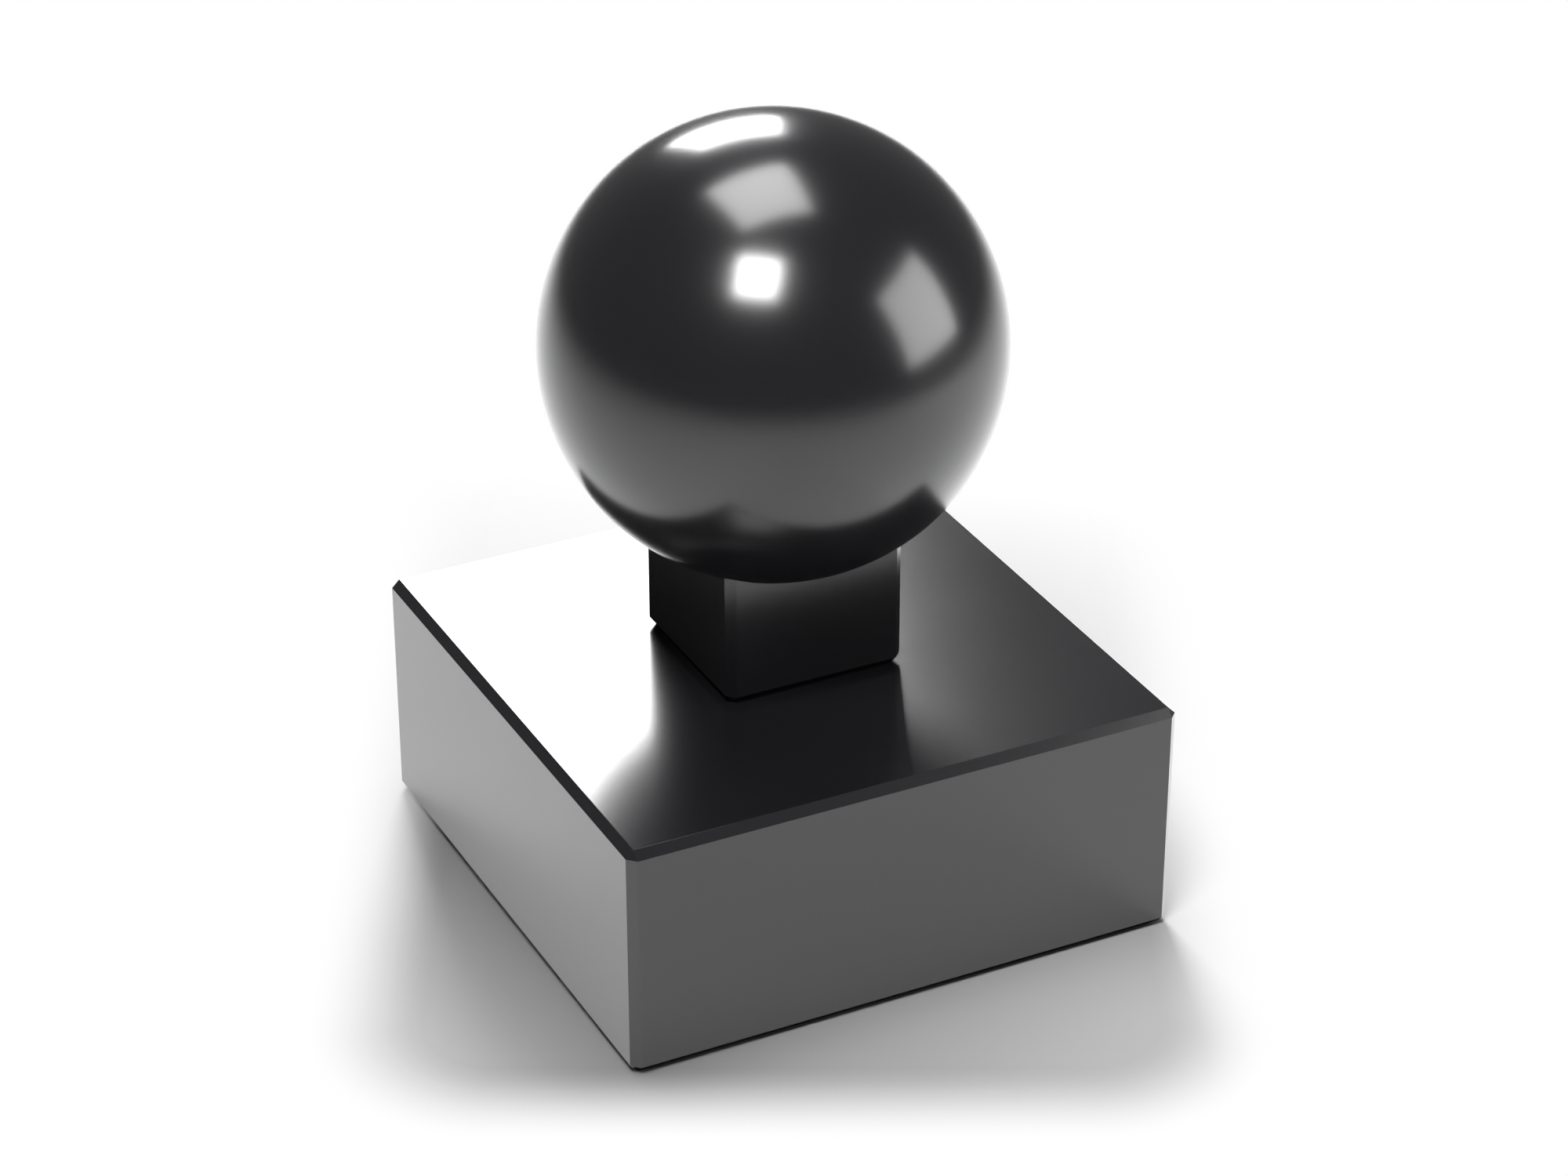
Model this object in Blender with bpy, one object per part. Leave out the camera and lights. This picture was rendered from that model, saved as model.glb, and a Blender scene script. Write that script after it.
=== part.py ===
"""Ball post cap: a hollow square cap for the top of a fence post, a square neck block and a ball.

The origin is the centre of the cap's underside, with +Z up. All sizes are in metres.
"""

import bmesh
import bpy
from mathutils import Matrix, Vector

# Driving dimensions
CAP_SIDE = 0.100  # outside width of the cap, for a post of 90 mm
CAP_HEIGHT = 0.0422  # underside to top face
SOCKET_SIDE = 0.092  # inside width, with a millimetre round the post
TOP_THICKNESS = 0.004
EDGE_CHAMFER = 0.0014  # on every outer edge of the cap and the neck
MOUTH_CHAMFER = 0.0008  # lead-in round the socket's mouth
SOCKET_CORNER = 0.0010  # upright corners inside the socket
NECK_SIDE = 0.0325
BALL_DIAMETER = 0.0778
BALL_CENTRE_HEIGHT = 0.0980
FIT_GAP = 0.0003  # between pieces that rest on each other

# How finely the ball is divided
BALL_SEGMENTS = 72
BALL_RINGS = 36

# Finish: black gloss powder coat
COAT_COLOUR = (0.006, 0.006, 0.0065, 1.0)
COAT_ROUGHNESS = 0.18
COAT_METALLIC = 0.0

# Worked out from the sizes above
WALL = (CAP_SIDE - SOCKET_SIDE) / 2
RIM_WIDTH = WALL - EDGE_CHAMFER
SOCKET_DEPTH = CAP_HEIGHT - TOP_THICKNESS
NECK_BOTTOM = CAP_HEIGHT + FIT_GAP
NECK_TOP = BALL_CENTRE_HEIGHT - BALL_DIAMETER / 4  # well inside the ball, which cuts it off
TOUCH = 1e-5  # tolerance when faces and edges are picked by their place
FACING = 0.99  # a face whose normal comes this close to an axis faces along it


def clear_scene():
    """Removes whatever the new file starts with."""
    for old in list(bpy.data.objects):
        bpy.data.objects.remove(old, do_unlink=True)


def coating(name):
    """A Principled material for one piece, in the black coat that all three share."""
    material = bpy.data.materials.new(name)
    material.use_nodes = True
    shader = material.node_tree.nodes["Principled BSDF"]
    shader.inputs["Base Color"].default_value = COAT_COLOUR
    shader.inputs["Roughness"].default_value = COAT_ROUGHNESS
    shader.inputs["Metallic"].default_value = COAT_METALLIC
    material.diffuse_color = COAT_COLOUR
    return material


def add_object(name, mesh_data, location=(0, 0, 0)):
    """Turns a bmesh into a named object with its own material."""
    mesh = bpy.data.meshes.new(name)
    mesh_data.to_mesh(mesh)
    mesh_data.free()
    mesh.materials.append(coating(name + "_coat"))
    piece = bpy.data.objects.new(name, mesh)
    piece.location = location
    bpy.context.scene.collection.objects.link(piece)
    return piece


def block(width, bottom, top):
    """A square block with all its edges chamfered, centred on the Z axis."""
    shape = bmesh.new()
    place = Matrix.Translation((0, 0, (bottom + top) / 2))
    size = Matrix.Diagonal((width, width, top - bottom, 1))
    bmesh.ops.create_cube(shape, size=1, matrix=place @ size)
    bmesh.ops.bevel(
        shape,
        geom=shape.edges[:],
        offset=EDGE_CHAMFER,
        offset_type="OFFSET",
        segments=1,
        affect="EDGES",
    )
    return shape


def ball_shape(diameter):
    """A sphere round the object origin, with its poles up and down."""
    shape = bmesh.new()
    bmesh.ops.create_uvsphere(
        shape, u_segments=BALL_SEGMENTS, v_segments=BALL_RINGS, radius=diameter / 2
    )
    return shape


def edges_between(shape, test):
    """The edges whose two ends both pass the test."""
    return [edge for edge in shape.edges if all(test(end.co) for end in edge.verts)]


def chamfer(shape, edges, width):
    bmesh.ops.bevel(shape, geom=edges, offset=width, segments=1, affect="EDGES")


def make_cap():
    """The cap: a chamfered block, opened from below by an inset and a push up into it."""
    shape = block(CAP_SIDE, 0, CAP_HEIGHT)
    underside = [face for face in shape.faces if face.normal.z < -FACING]
    bmesh.ops.inset_region(shape, faces=underside, thickness=RIM_WIDTH, use_even_offset=True)
    raised = bmesh.ops.extrude_face_region(shape, geom=underside)
    bmesh.ops.delete(shape, geom=underside, context="FACES_ONLY")
    ceiling = [item for item in raised["geom"] if isinstance(item, bmesh.types.BMVert)]
    bmesh.ops.translate(shape, verts=ceiling, vec=Vector((0, 0, SOCKET_DEPTH)))

    half = SOCKET_SIDE / 2

    def on_socket_corner(place):
        return abs(abs(place.x) - half) < TOUCH and abs(abs(place.y) - half) < TOUCH

    uprights = [
        edge
        for edge in edges_between(shape, on_socket_corner)
        if abs(edge.verts[0].co.z - edge.verts[1].co.z) > TOUCH
    ]
    chamfer(shape, uprights, SOCKET_CORNER)

    def on_mouth(place):
        inside = max(abs(place.x), abs(place.y)) < half + TOUCH
        return inside and abs(place.z) < TOUCH

    chamfer(shape, edges_between(shape, on_mouth), MOUTH_CHAMFER)
    bmesh.ops.recalc_face_normals(shape, faces=shape.faces[:])
    return add_object("post_cap", shape)


def make_ball():
    """The ball, which sits down in the neck's seat."""
    ball = add_object("ball", ball_shape(BALL_DIAMETER), (0, 0, BALL_CENTRE_HEIGHT))
    ball.data.shade_smooth()
    return ball


def make_neck():
    """The neck: a chamfered square block whose top is hollowed to the ball's own curve."""
    neck = add_object("neck_block", block(NECK_SIDE, NECK_BOTTOM, NECK_TOP))
    cutter = add_object(
        "neck_seat_cutter", ball_shape(BALL_DIAMETER + 2 * FIT_GAP), (0, 0, BALL_CENTRE_HEIGHT)
    )
    cutter.hide_render = True
    cutter.display_type = "WIRE"
    seat = neck.modifiers.new("seat", "BOOLEAN")
    seat.operation = "DIFFERENCE"
    seat.solver = "EXACT"
    seat.object = cutter
    return neck


clear_scene()
make_cap()
make_neck()
make_ball()
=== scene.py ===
# %% [markdown]
# # A ball post cap in black gloss powder coat
#
# A post cap keeps the rain out of the sawn end of a fence post. This one is three pieces of
# metal, most likely aluminium: a hollow square cap, a small square neck block on top of it,
# and a ball that sits down into the neck. All three are sprayed with the same black powder
# and baked.
#
# The lesson starts from the engineering model, which has every piece at its real size and
# place, and gives each piece a fine surface and a real finish.

# %% Load the engineering model
import math

import bmesh
import bpy
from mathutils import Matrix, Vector


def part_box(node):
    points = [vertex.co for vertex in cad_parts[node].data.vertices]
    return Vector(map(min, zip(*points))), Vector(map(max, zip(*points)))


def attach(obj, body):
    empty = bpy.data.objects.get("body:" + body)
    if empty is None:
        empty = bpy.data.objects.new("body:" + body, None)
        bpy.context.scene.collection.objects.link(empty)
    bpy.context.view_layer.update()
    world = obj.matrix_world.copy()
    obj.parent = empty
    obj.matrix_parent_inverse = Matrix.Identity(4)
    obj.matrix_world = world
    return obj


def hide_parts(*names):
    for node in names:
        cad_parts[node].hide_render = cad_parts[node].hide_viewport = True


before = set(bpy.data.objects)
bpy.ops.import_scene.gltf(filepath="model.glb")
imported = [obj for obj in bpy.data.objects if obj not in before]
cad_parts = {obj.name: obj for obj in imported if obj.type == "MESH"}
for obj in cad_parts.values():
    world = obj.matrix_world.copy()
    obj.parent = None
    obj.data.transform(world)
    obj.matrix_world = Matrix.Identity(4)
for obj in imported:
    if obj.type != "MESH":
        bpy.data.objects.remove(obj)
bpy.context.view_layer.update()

MM = 0.001
print("pieces in the model:", sorted(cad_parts))

# %% [markdown]
# ## The camera
#
# A product picture is taken from a little above with a long lens, so that upright edges stay
# nearly parallel. The camera stands off the cap's near corner, 29 degrees above the table.
# It is placed by two angles and a distance, and is then slid up and sideways in its own
# picture plane, which frames the cap without tilting the view.

# %% Place the camera
CAMERA_AZIMUTH = math.radians(-26.6)
CAMERA_ELEVATION = math.radians(29.22)
CAMERA_DISTANCE = 735.1 * MM
CAMERA_SLIDE = (1.8 * MM, 45.9 * MM)  # to the right and up, in the picture plane
CAMERA_LENS = 96.7  # millimetres
SENSOR_WIDTH = 36  # millimetres


def direction(azimuth, elevation):
    """A unit vector: azimuth 0 points to -Y and 90 degrees to +X, elevation is above the table."""
    flat = math.cos(elevation)
    return Vector((math.sin(azimuth) * flat, -math.cos(azimuth) * flat, math.sin(elevation)))


def aim(item, toward):
    """Turns a camera or a light to look along a direction, with its top edge level."""
    item.rotation_mode = "QUATERNION"
    item.rotation_quaternion = toward.to_track_quat("-Z", "Y")


bpy.ops.object.select_all(action="DESELECT")
bpy.ops.object.camera_add()
camera = bpy.context.object
camera.name = "camera"
camera.data.lens = CAMERA_LENS
camera.data.sensor_width = SENSOR_WIDTH
aim(camera, -direction(CAMERA_AZIMUTH, CAMERA_ELEVATION))
camera.location = camera.rotation_quaternion @ Vector((*CAMERA_SLIDE, CAMERA_DISTANCE))
bpy.context.scene.camera = camera
print("camera at", [round(x, 3) for x in camera.location])

# %% [markdown]
# ## Tools for shaping
#
# An operator in Blender works on whatever is selected. By hand you would click a face; in a
# script you pick it by where it lies or which way it looks. These helpers start a block, pick
# faces or edges in edit mode, and apply a modifier when a shape is done.

# %% Define the shaping helpers
TOUCH = 0.01 * MM  # how close counts as the same place
FACING = 0.99  # a face whose normal comes this close to an axis looks along it


def add_block(name, low, high):
    """A plain block between two corners, with its size and place in its mesh."""
    bpy.ops.object.select_all(action="DESELECT")
    bpy.ops.mesh.primitive_cube_add(size=1, location=(low + high) / 2)
    piece = bpy.context.object
    piece.name = name
    piece.scale = high - low
    bpy.ops.object.transform_apply(location=True, rotation=True, scale=True)
    return piece


def choose(piece, kind, test):
    """In edit mode, selects the faces or the edges that pass a test, and nothing else."""
    bpy.ops.mesh.select_mode(type=kind)
    bpy.ops.mesh.select_all(action="DESELECT")
    shape = bmesh.from_edit_mesh(piece.data)
    shape.normal_update()
    for item in shape.faces if kind == "FACE" else shape.edges:
        if test(item):
            item.select_set(True)
    bmesh.update_edit_mesh(piece.data)


def apply_modifier(piece, kind, **settings):
    """Adds a modifier, sets it and bakes its result into the mesh."""
    modifier = piece.modifiers.new(kind.lower(), kind)
    for setting, value in settings.items():
        setattr(modifier, setting, value)
    bpy.context.view_layer.objects.active = piece
    bpy.ops.object.modifier_apply(modifier=modifier.name)


def triangles(piece):
    piece.data.calc_loop_triangles()
    return len(piece.data.loop_triangles)


# %% [markdown]
# ## Softened edges
#
# No real edge is a perfect line. Each chamfer here is cut flat, and the baked powder then
# flows round its two corners in a tiny curve. A Bevel modifier makes that curve, and Weighted
# Normal keeps the broad faces shading dead flat next to it, so reflections stay straight.

# %% Define the edge finish
COAT_RADIUS = 0.03 * MM  # the powder's curve over a machined corner
COAT_STEPS = 3
SHARPEST_SMOOTH = math.radians(32)  # edges steeper than this stay crisp
SOFTENED = math.radians(40)  # edges steeper than this get the curve


def soften_edges(piece):
    """Rounds every corner line a little."""
    apply_modifier(
        piece,
        "BEVEL",
        width=COAT_RADIUS,
        segments=COAT_STEPS,
        limit_method="ANGLE",
        angle_limit=SOFTENED,
    )


def shade(piece):
    """Smooth shading on curves, flat shading on flats."""
    bpy.ops.object.select_all(action="DESELECT")
    piece.select_set(True)
    bpy.context.view_layer.objects.active = piece
    bpy.ops.object.shade_smooth_by_angle(angle=SHARPEST_SMOOTH)
    apply_modifier(piece, "WEIGHTED_NORMAL", mode="FACE_AREA", weight=100, keep_sharp=True)


# %% [markdown]
# ## The cap
#
# The real cap is a cast box without a floor. The quickest honest way to model such a thing is
# the way a machinist would make it from solid: start with a block, cut a chamfer along every
# edge, then open it from below. An inset marks the rim's width on the underside, and an extrude
# pushes the middle up into the block, which leaves four walls and a top of true thickness.
# The socket's upright corners get the round that a mould needs, the roof meets the walls in
# a smaller round, and the mouth has a lead-in so that the cap slides over the post.

# %% Cut the cap's outside
EDGE_CHAMFER = 1.4 * MM
WALL = 4 * MM
SOCKET_CORNER = 1 * MM
SOCKET_FILLET = 0.6 * MM
FILLET_STEPS = 5
MOUTH_CHAMFER = 0.8 * MM


def chamfer_all(piece):
    """Cuts one flat chamfer along every edge of a plain block."""
    bpy.ops.object.mode_set(mode="EDIT")
    bpy.ops.mesh.select_all(action="SELECT")
    bpy.ops.mesh.bevel(offset=EDGE_CHAMFER, offset_type="OFFSET", segments=1, affect="EDGES")
    bpy.ops.object.mode_set(mode="OBJECT")


cap_low, cap_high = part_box("post_cap")
cap = add_block("cap_shell", cap_low, cap_high)
chamfer_all(cap)
print("cap", [round(x / MM, 1) for x in cap.dimensions], "mm")

# %% Open the socket from below
socket_half = (cap_high.x - cap_low.x) / 2 - WALL
socket_depth = cap_high.z - cap_low.z - WALL


def steep(edge):
    return abs(edge.verts[0].co.z - edge.verts[1].co.z) > MM


def in_socket(place):
    return max(abs(place.x), abs(place.y)) < socket_half + TOUCH


def upright_in_socket(edge):
    return steep(edge) and all(in_socket(end.co) for end in edge.verts)


def level_in_socket(height):
    """A test for the socket's edges that lie at one height."""
    return lambda edge: all(
        in_socket(end.co) and abs(end.co.z - height) < TOUCH for end in edge.verts
    )


bpy.ops.object.mode_set(mode="EDIT")
choose(cap, "FACE", lambda face: face.normal.z < -FACING)
bpy.ops.mesh.inset(thickness=WALL - EDGE_CHAMFER, use_even_offset=True)
bpy.ops.mesh.extrude_region_move(TRANSFORM_OT_translate={"value": (0, 0, socket_depth)})
choose(cap, "EDGE", upright_in_socket)
bpy.ops.mesh.bevel(offset=SOCKET_CORNER, segments=FILLET_STEPS, affect="EDGES")
roof = cap_low.z + socket_depth
choose(cap, "EDGE", level_in_socket(roof))
bpy.ops.mesh.bevel(offset=SOCKET_FILLET, segments=FILLET_STEPS, affect="EDGES")
choose(cap, "EDGE", level_in_socket(cap_low.z))
bpy.ops.mesh.bevel(offset=MOUTH_CHAMFER, segments=1, affect="EDGES")
bpy.ops.object.mode_set(mode="OBJECT")
soften_edges(cap)
shade(cap)
print("socket", round(2 * socket_half / MM, 1), "mm square;", triangles(cap), "triangles")

# %% [markdown]
# ## The ball
#
# The real ball is spun or pressed in two halves, welded, and ground until the seam is gone, so
# it has to be a true sphere without poles that pinch the reflections. A cube divided again and
# again and then cast onto a sphere gives even squares all over, which suits gloss far better
# than the long triangles round the poles of a globe.

# %% Round the ball
BALL_LEVELS = 6
SEAT_CLEARANCE = 0.04 * MM  # a film of coat between ball and seat


def add_ball(name, centre, diameter):
    """A sphere made from a cube by subdivision, centred in its mesh."""
    reach = Vector((diameter, diameter, diameter)) / 2
    piece = add_block(name, centre - reach, centre + reach)
    apply_modifier(piece, "SUBSURF", levels=BALL_LEVELS, render_levels=BALL_LEVELS)
    for vertex in piece.data.vertices:
        vertex.co = centre + (vertex.co - centre).normalized() * diameter / 2
    return piece


ball_low, ball_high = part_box("ball")
ball_centre = (ball_low + ball_high) / 2
ball_diameter = ball_high.z - ball_low.z
ball = add_ball("ball_body", ball_centre, ball_diameter)
bpy.ops.object.select_all(action="DESELECT")
ball.select_set(True)
bpy.ops.object.shade_smooth()
print("ball", round(ball_diameter / MM, 1), "mm across;", triangles(ball), "triangles")

# %% [markdown]
# ## The neck block
#
# The neck is a short block with the same chamfers, and its top is milled to the ball's own
# curve. That is a Boolean, the digital milling cutter: a second ball, larger by the film of
# coat between them, is subtracted from the block. The block starts right on the cap's top face,
# and its lower chamfer leaves the fine dark groove that shows the two are separate pieces.

# %% Cut the neck
COAT_FILM = 0.03 * MM  # between the neck and the cap's top
neck_low, neck_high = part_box("neck_block")
neck_low.z = cap_high.z + COAT_FILM
neck_high.z = ball_centre.z  # cut away again by the seat
neck = add_block("neck_body", neck_low, neck_high)
chamfer_all(neck)
soften_edges(neck)
cutter = add_ball("seat_cutter", ball_centre, ball_diameter + 2 * SEAT_CLEARANCE)
apply_modifier(neck, "BOOLEAN", operation="DIFFERENCE", solver="EXACT", object=cutter)
bpy.data.objects.remove(cutter, do_unlink=True)
shade(neck)
print("neck", [round(x / MM, 1) for x in neck.dimensions], "mm;", triangles(neck), "triangles")

# %% [markdown]
# ## The finish: black gloss powder coat
#
# Powder coat is a polyester resin with black pigment, sprayed on as a dry powder and melted in
# an oven. It is a plastic skin and not bare metal, so it reflects like one: about four parts in
# a hundred seen square on, and nearly everything at a grazing angle. That comes from an IOR of
# 1.5 with the metallic value at 0. The pigment is close to true black.
#
# The melted skin is never optically flat. It keeps a very shallow ripple called orange peel,
# about two millimetres from crest to crest, and its gloss drifts a little over a few centimetres.

# %% Define the material helpers
def linear(hex_colour):
    """An sRGB hex colour as the linear numbers that a shader needs."""
    channels = [int(hex_colour[i : i + 2], 16) / 255 for i in (1, 3, 5)]
    return (*[c / 12.92 if c <= 0.04045 else ((c + 0.055) / 1.055) ** 2.4 for c in channels], 1.0)


def add_node(material, kind, settings=None, values=None, links=None):
    """Adds one node: its settings, the values of its sockets, and what its sockets are fed by."""
    node = material.node_tree.nodes.new(kind)
    for name, value in (settings or {}).items():
        setattr(node, name, value)
    for name, value in (values or {}).items():
        node.inputs[name].default_value = value
    for name, source in (links or {}).items():
        material.node_tree.links.new(source, node.inputs[name])
    return node


def new_material(name):
    """An empty node material with its output."""
    material = bpy.data.materials.new(name)
    material.use_nodes = True
    material.node_tree.nodes.clear()
    return material


# %% Mix the powder coat
COAT_BLACK = "#0E0E10"
COAT_ROUGHNESS = (0.195, 0.205)  # where its gloss is highest and lowest
COAT_IOR = 1.5
PEEL_SPACING = 2.2 * MM  # crest to crest
PEEL_HEIGHT = 0.004 * MM
GLOSS_PATCH = 30 * MM  # over which the gloss drifts
NOISE_LOW = 0.3  # most of a noise lies between these two
NOISE_HIGH = 0.7


def powder_coat(name, colour, roughness, peel_height):
    """Baked powder coat, with orange peel and a slow drift in gloss."""
    smoothest, roughest = roughness
    material = new_material(name)
    place = add_node(material, "ShaderNodeTexCoord").outputs["Object"]
    drift = add_node(
        material,
        "ShaderNodeTexNoise",
        values={"Scale": 1 / GLOSS_PATCH, "Detail": 2.0, "Roughness": 0.5},
        links={"Vector": place},
    )
    gloss = add_node(
        material,
        "ShaderNodeMapRange",
        values={
            "From Min": NOISE_LOW,
            "From Max": NOISE_HIGH,
            "To Min": smoothest,
            "To Max": roughest,
        },
        links={"Value": drift.outputs["Fac"]},
    )
    peel = add_node(
        material,
        "ShaderNodeTexNoise",
        values={"Scale": 1 / PEEL_SPACING, "Detail": 1.5, "Roughness": 0.4},
        links={"Vector": place},
    )
    ripple = add_node(
        material,
        "ShaderNodeBump",
        values={"Strength": 1.0, "Distance": peel_height},
        links={"Height": peel.outputs["Fac"]},
    )
    shader = add_node(
        material,
        "ShaderNodeBsdfPrincipled",
        values={"Base Color": linear(colour), "Metallic": 0.0, "IOR": COAT_IOR},
        links={"Roughness": gloss.outputs["Result"], "Normal": ripple.outputs["Normal"]},
    )
    add_node(material, "ShaderNodeOutputMaterial", links={"Surface": shader.outputs["BSDF"]})
    material.diffuse_color = linear(colour)
    return material


gloss_coat = powder_coat("black_gloss_powder_coat", COAT_BLACK, COAT_ROUGHNESS, PEEL_HEIGHT)
print("gloss coat", [round(x, 4) for x in linear(COAT_BLACK)[:3]])

# %% [markdown]
# ## Inside the socket
#
# Powder is drawn to the metal by static charge, and the charge hardly reaches into a deep box.
# So the skin inside the cap is thin: it shows the grain of the casting, it is duller than the
# outside, and it is a little greyer. It gets a second mix from the same function, on the faces
# that look into the socket.

# %% Coat the inside of the cap
THIN_BLACK = "#19191A"
THIN_ROUGHNESS = (0.42, 0.55)
CAST_GRAIN = 0.03 * MM  # its height

thin_coat = powder_coat("thin_inner_powder_coat", THIN_BLACK, THIN_ROUGHNESS, CAST_GRAIN)
for piece in (cap, neck, ball):
    piece.data.materials.clear()
    piece.data.materials.append(gloss_coat)
cap.data.materials.append(thin_coat)
above_mouth = cap_low.z + MOUTH_CHAMFER + TOUCH
inner_faces = [
    face
    for face in cap.data.polygons
    if in_socket(face.center) and above_mouth < face.center.z < roof + TOUCH
]
for face in inner_faces:
    face.material_index = 1
print(len(inner_faces), "faces inside the socket")

# %% [markdown]
# ## Hand the pieces over
#
# Each new piece rides on the model's one body and stands in for the plain solid of the same
# name, which is hidden.

# %% Stand in for the plain solids
for piece, node, slot in (
    (cap, "post_cap", "cap_coat"),
    (neck, "neck_block", "neck_coat"),
    (ball, "ball", "ball_coat"),
):
    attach(piece, "root")
    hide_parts(node)
print("pieces:", [piece.name for piece in (cap, neck, ball)])

# %% [markdown]
# ## The table
#
# Gloss black has almost no colour of its own. What you see on it is the studio: a white table,
# four square softboxes and a dim room. The table has two jobs that want different light. In the
# gloss it has to be very bright, but straight on it should only just reach white, with the
# cap's soft shadow on it. A photographer joins two exposures. Here the table is two matt sheets
# in one place: one is seen only in the gloss, the other only straight on.

# %% Lay the sheet that the gloss sees
TABLE_SIDE = 8.0  # metres
TABLE_DROP = 0.02 * MM  # just under the rim
SHEET_GAP = 0.05 * MM  # between the two sheets
PAPER_WHITE = "#E4E4E4"


def lay_sheet(name, side, height, colour):
    """A square matt sheet, lying flat. Returns the sheet, its material and its shader."""
    bpy.ops.object.select_all(action="DESELECT")
    bpy.ops.mesh.primitive_plane_add(size=side, location=(0, 0, height))
    sheet = bpy.context.object
    sheet.name = name
    bpy.ops.object.transform_apply(location=True, rotation=True, scale=True)
    surface = new_material(name + "_surface")
    matt = add_node(
        surface,
        "ShaderNodeBsdfPrincipled",
        values={"Base Color": linear(colour), "Roughness": 0.95, "Specular IOR Level": 0.0},
    )
    add_node(surface, "ShaderNodeOutputMaterial", links={"Surface": matt.outputs["BSDF"]})
    sheet.data.materials.append(surface)
    return sheet, surface, matt


table_top = cap_low.z - TABLE_DROP
mirrored_table = lay_sheet("table_in_gloss", TABLE_SIDE, table_top - SHEET_GAP, PAPER_WHITE)[0]
mirrored_table.visible_camera = False
print("table", TABLE_SIDE, "m square")

# %% [markdown]
# ## A painted glow round a shaded patch
#
# The sheet that is seen straight on glows. An emission makes the table pure white, and it is
# painted light, not a lamp. The glow fades out over a soft rectangle round the cap. Inside the
# rectangle the sheet is lit only by its own lamps and shows the cap's soft shadow. The rectangle
# is square to the camera, and long at the back, where the shadow of the ball falls.
#
# Its nodes measure how far a point lies outside a rectangle. The sheet's own coordinates are
# turned, made positive and lessened by half the card's size. What is left over is cut off at
# zero, and its length is the distance, which Map Range turns into a soft edge.

# %% Lay the light table
PATCH_TURN = -CAMERA_AZIMUTH
PATCH_SHIFT = (-3 * MM, -38 * MM, 0)
PATCH_HALF = (48 * MM, 90 * MM, 1.0)  # half its width, half its depth, and any height
PATCH_ROUND = 12 * MM  # added on every side, which rounds the corners
PATCH_EDGE = 20 * MM  # over which it fades to white
SEEN_TABLE_GREY = "#707070"

# The sheet seen straight on: mid grey lit by its own lamps inside the patch, painted glow outside
# it
seen_table, seen_surface, matt = lay_sheet("painted_glow_table", TABLE_SIDE, table_top, SEEN_TABLE_GREY)
seen_table.visible_diffuse = False
seen_table.visible_glossy = False
seen_table.visible_shadow = False
turned = add_node(
    seen_surface,
    "ShaderNodeMapping",
    values={"Location": PATCH_SHIFT, "Rotation": (0, 0, PATCH_TURN)},
    links={"Vector": add_node(seen_surface, "ShaderNodeTexCoord").outputs["Object"]},
)
positive = add_node(
    seen_surface,
    "ShaderNodeVectorMath",
    settings={"operation": "ABSOLUTE"},
    links={0: turned.outputs["Vector"]},
)
beyond = add_node(
    seen_surface,
    "ShaderNodeVectorMath",
    settings={"operation": "SUBTRACT"},
    values={1: PATCH_HALF},
    links={0: positive.outputs["Vector"]},
)
outside = add_node(
    seen_surface,
    "ShaderNodeVectorMath",
    settings={"operation": "MAXIMUM"},
    values={1: (0, 0, 0)},
    links={0: beyond.outputs["Vector"]},
)
distance = add_node(
    seen_surface,
    "ShaderNodeVectorMath",
    settings={"operation": "LENGTH"},
    links={0: outside.outputs["Vector"]},
)
# The share of painted glow: none inside the patch, all of it beyond the patch's soft edge
painted_glow_share = add_node(
    seen_surface,
    "ShaderNodeMapRange",
    settings={"interpolation_type": "SMOOTHSTEP"},
    values={"From Min": PATCH_ROUND, "From Max": PATCH_ROUND + PATCH_EDGE},
    links={"Value": distance.outputs["Value"]},
)
# Painted light: this emission makes the table glow white outside the patch, though it is no lamp
painted_glow = add_node(seen_surface, "ShaderNodeEmission", values={"Color": linear("#FFFFFF")})
table_shader = add_node(
    seen_surface,
    "ShaderNodeMixShader",
    links={0: painted_glow_share.outputs["Result"], 1: matt.outputs["BSDF"], 2: painted_glow.outputs["Emission"]},
)
surface_input = seen_surface.node_tree.get_output_node("ALL").inputs["Surface"]
seen_surface.node_tree.links.new(table_shader.outputs["Shader"], surface_input)
print("shaded patch", [round(2 * (side + PATCH_ROUND) / MM) for side in PATCH_HALF[:2]], "mm")

# %% [markdown]
# ## Painted shade under the rim
#
# The lower chamfer of the cap leans out over the table. On a white table it would mirror the
# white paper under it, and the cap would seem to float. A black card a little smaller than the
# cap, which only the gloss can see, is painted shade. The chamfer mirrors it as the thin black
# line of a heavy thing that stands flat.

# %% Slide the card under the cap
RIM_SHADE_BLACK = "#050505"
CARD_INSET = 0.5 * MM  # from the cap's sides
card_side = cap_high.x - cap_low.x - 2 * CARD_INSET
# Painted shade: a black sheet that only the gloss sees, so the lower chamfer mirrors a dark line
rim_shade_sheet = lay_sheet("painted_shade_under_rim", card_side, table_top, RIM_SHADE_BLACK)[0]
rim_shade_sheet.visible_camera = False
rim_shade_sheet.visible_diffuse = False
rim_shade_sheet.visible_shadow = False
print("card", round(rim_shade_sheet.dimensions.x / MM), "mm square")

# %% [markdown]
# ## The softboxes
#
# Each softbox is given by the direction it stands in, its distance, its width and how bright
# its face is. The tops of the boxes stay level, which keeps their reflections square. Light
# linking splits the work: the four softboxes light everything but the table seen straight on,
# and three strong lamps in the same directions light that table alone. The table is a mid
# grey, so under such lamps it looks white and the dim room adds little to its shadows. The key
# lamp looks past the cap to the right through a grid, which narrows its beam and keeps it off
# the front.

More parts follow.
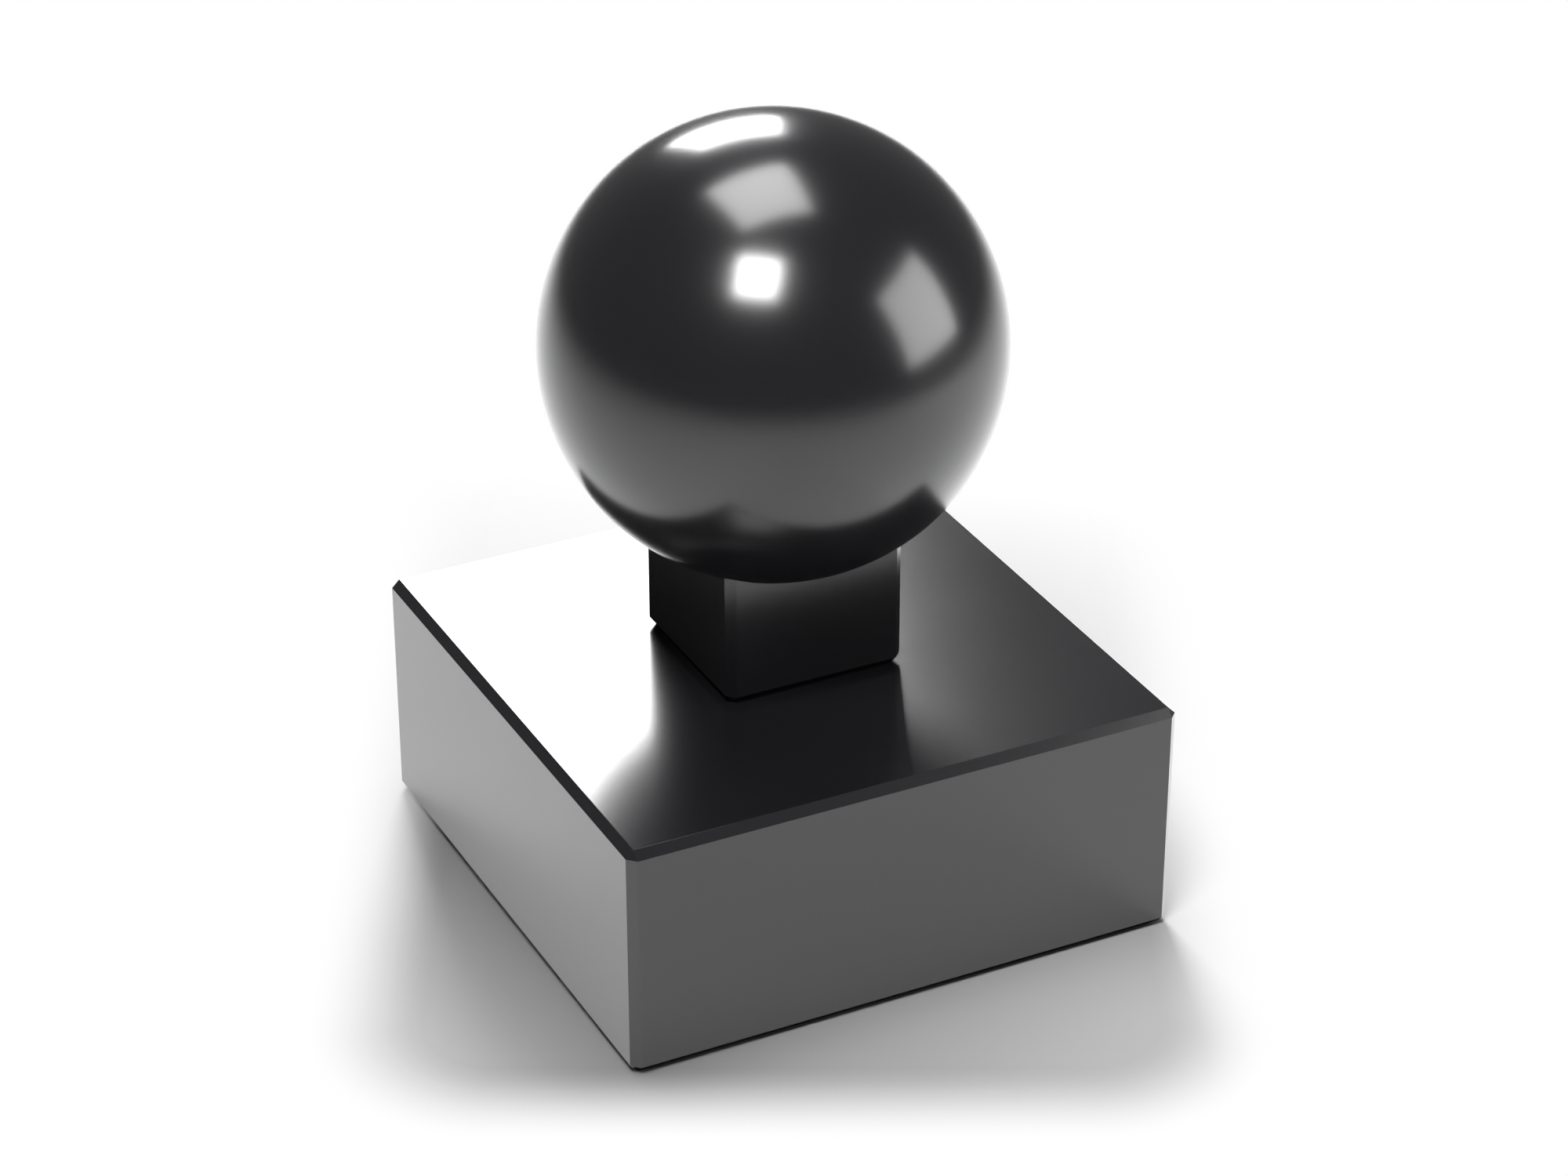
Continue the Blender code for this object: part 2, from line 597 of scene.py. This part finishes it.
# %% Set the softboxes
SOFTBOXES = {
    # azimuth and elevation in degrees, distance in metres, half the width over the distance,
    # and the brightness of its face
    "key_softbox": (-38.5, 56.5, 0.55, 0.166, 49.0),
    "overhead_softbox": (176.6, 78.9, 0.55, 0.272, 12.5),
    "side_softbox": (54.5, 18.2, 0.50, 0.2955, 8.06),
    "back_softbox": (163.8, 27.2, 0.60, 0.182, 25.0),
}
TABLE_LAMPS = {
    # the softbox that it shares its place with, and the brightness of its own face
    "key_lamp": ("key_softbox", 205.0),
    "overhead_lamp": ("overhead_softbox", 20.0),
    "back_lamp": ("back_softbox", 136.0),
}
GRID_BEAM = math.radians(73.4)  # the whole angle of the key lamp's beam
GRID_TARGET = Vector((300, -188, 0)) * MM  # where it looks


def add_softbox(name, azimuth, elevation, distance, half_width, brightness):
    """A square light of a given brightness, facing the ball."""
    toward = direction(math.radians(azimuth), math.radians(elevation))
    bpy.ops.object.light_add(type="AREA", location=ball_centre + toward * distance)
    box = bpy.context.object
    box.name = name
    box.data.shape = "SQUARE"
    box.data.size = 2 * half_width * distance
    box.data.energy = brightness * math.pi * box.data.size**2
    box.visible_camera = False
    aim(box, -toward)
    return box


def link_light(box, sheet, state):
    """Lets a box light only this sheet (INCLUDE), or everything but this sheet (EXCLUDE)."""
    lit = bpy.data.collections.new("lit_by_" + box.name)
    lit.objects.link(sheet)
    lit.collection_objects[0].light_linking.link_state = state
    box.light_linking.receiver_collection = lit


softboxes = [add_softbox(name, *setting) for name, setting in SOFTBOXES.items()]
for box in softboxes:
    link_light(box, seen_table, "EXCLUDE")
table_lamps = [
    add_softbox(name, *SOFTBOXES[softbox][:-1], brightness)
    for name, (softbox, brightness) in TABLE_LAMPS.items()
]
for box in table_lamps:
    link_light(box, seen_table, "INCLUDE")
key_lamp = table_lamps[0]
aim(key_lamp, GRID_TARGET - key_lamp.location)
key_lamp.data.spread = GRID_BEAM
# Blender brightens a beam that is narrowed. A grid only blocks light, so that is taken back.
key_lamp.data.energy *= 1 - GRID_BEAM / 2 / math.tan(GRID_BEAM / 2)
print("lights:", [box.name for box in softboxes + table_lamps])

# %% [markdown]
# ## The room
#
# The room is dim and grey all round, and a little lighter behind the camera on the left. The
# dot product of two directions runs from 1, where they agree, to -1, where they are opposite,
# so it shades the room smoothly from one side to the other.

# %% Shade the room
ROOM_LIGHT = 0.223
ROOM_DARK = 0.168
ROOM_LIGHT_SIDE = direction(math.radians(-35), 0)

world = bpy.data.worlds.new("dim_grey_room")
world.use_nodes = True
background = world.node_tree.nodes["Background"]
background.inputs["Color"].default_value = linear("#FFFFFF")
agreement = add_node(
    world,
    "ShaderNodeVectorMath",
    settings={"operation": "DOT_PRODUCT"},
    values={1: ROOM_LIGHT_SIDE},
    links={0: add_node(world, "ShaderNodeTexCoord").outputs["Generated"]},
)
grey = add_node(
    world,
    "ShaderNodeMapRange",
    values={"From Min": -1.0, "From Max": 1.0, "To Min": ROOM_DARK, "To Max": ROOM_LIGHT},
    links={"Value": agreement.outputs["Value"]},
)
world.node_tree.links.new(grey.outputs["Result"], background.inputs["Strength"])
bpy.context.scene.world = world
bpy.context.scene.view_settings.view_transform = "Standard"
print("room from", ROOM_DARK, "to", ROOM_LIGHT)
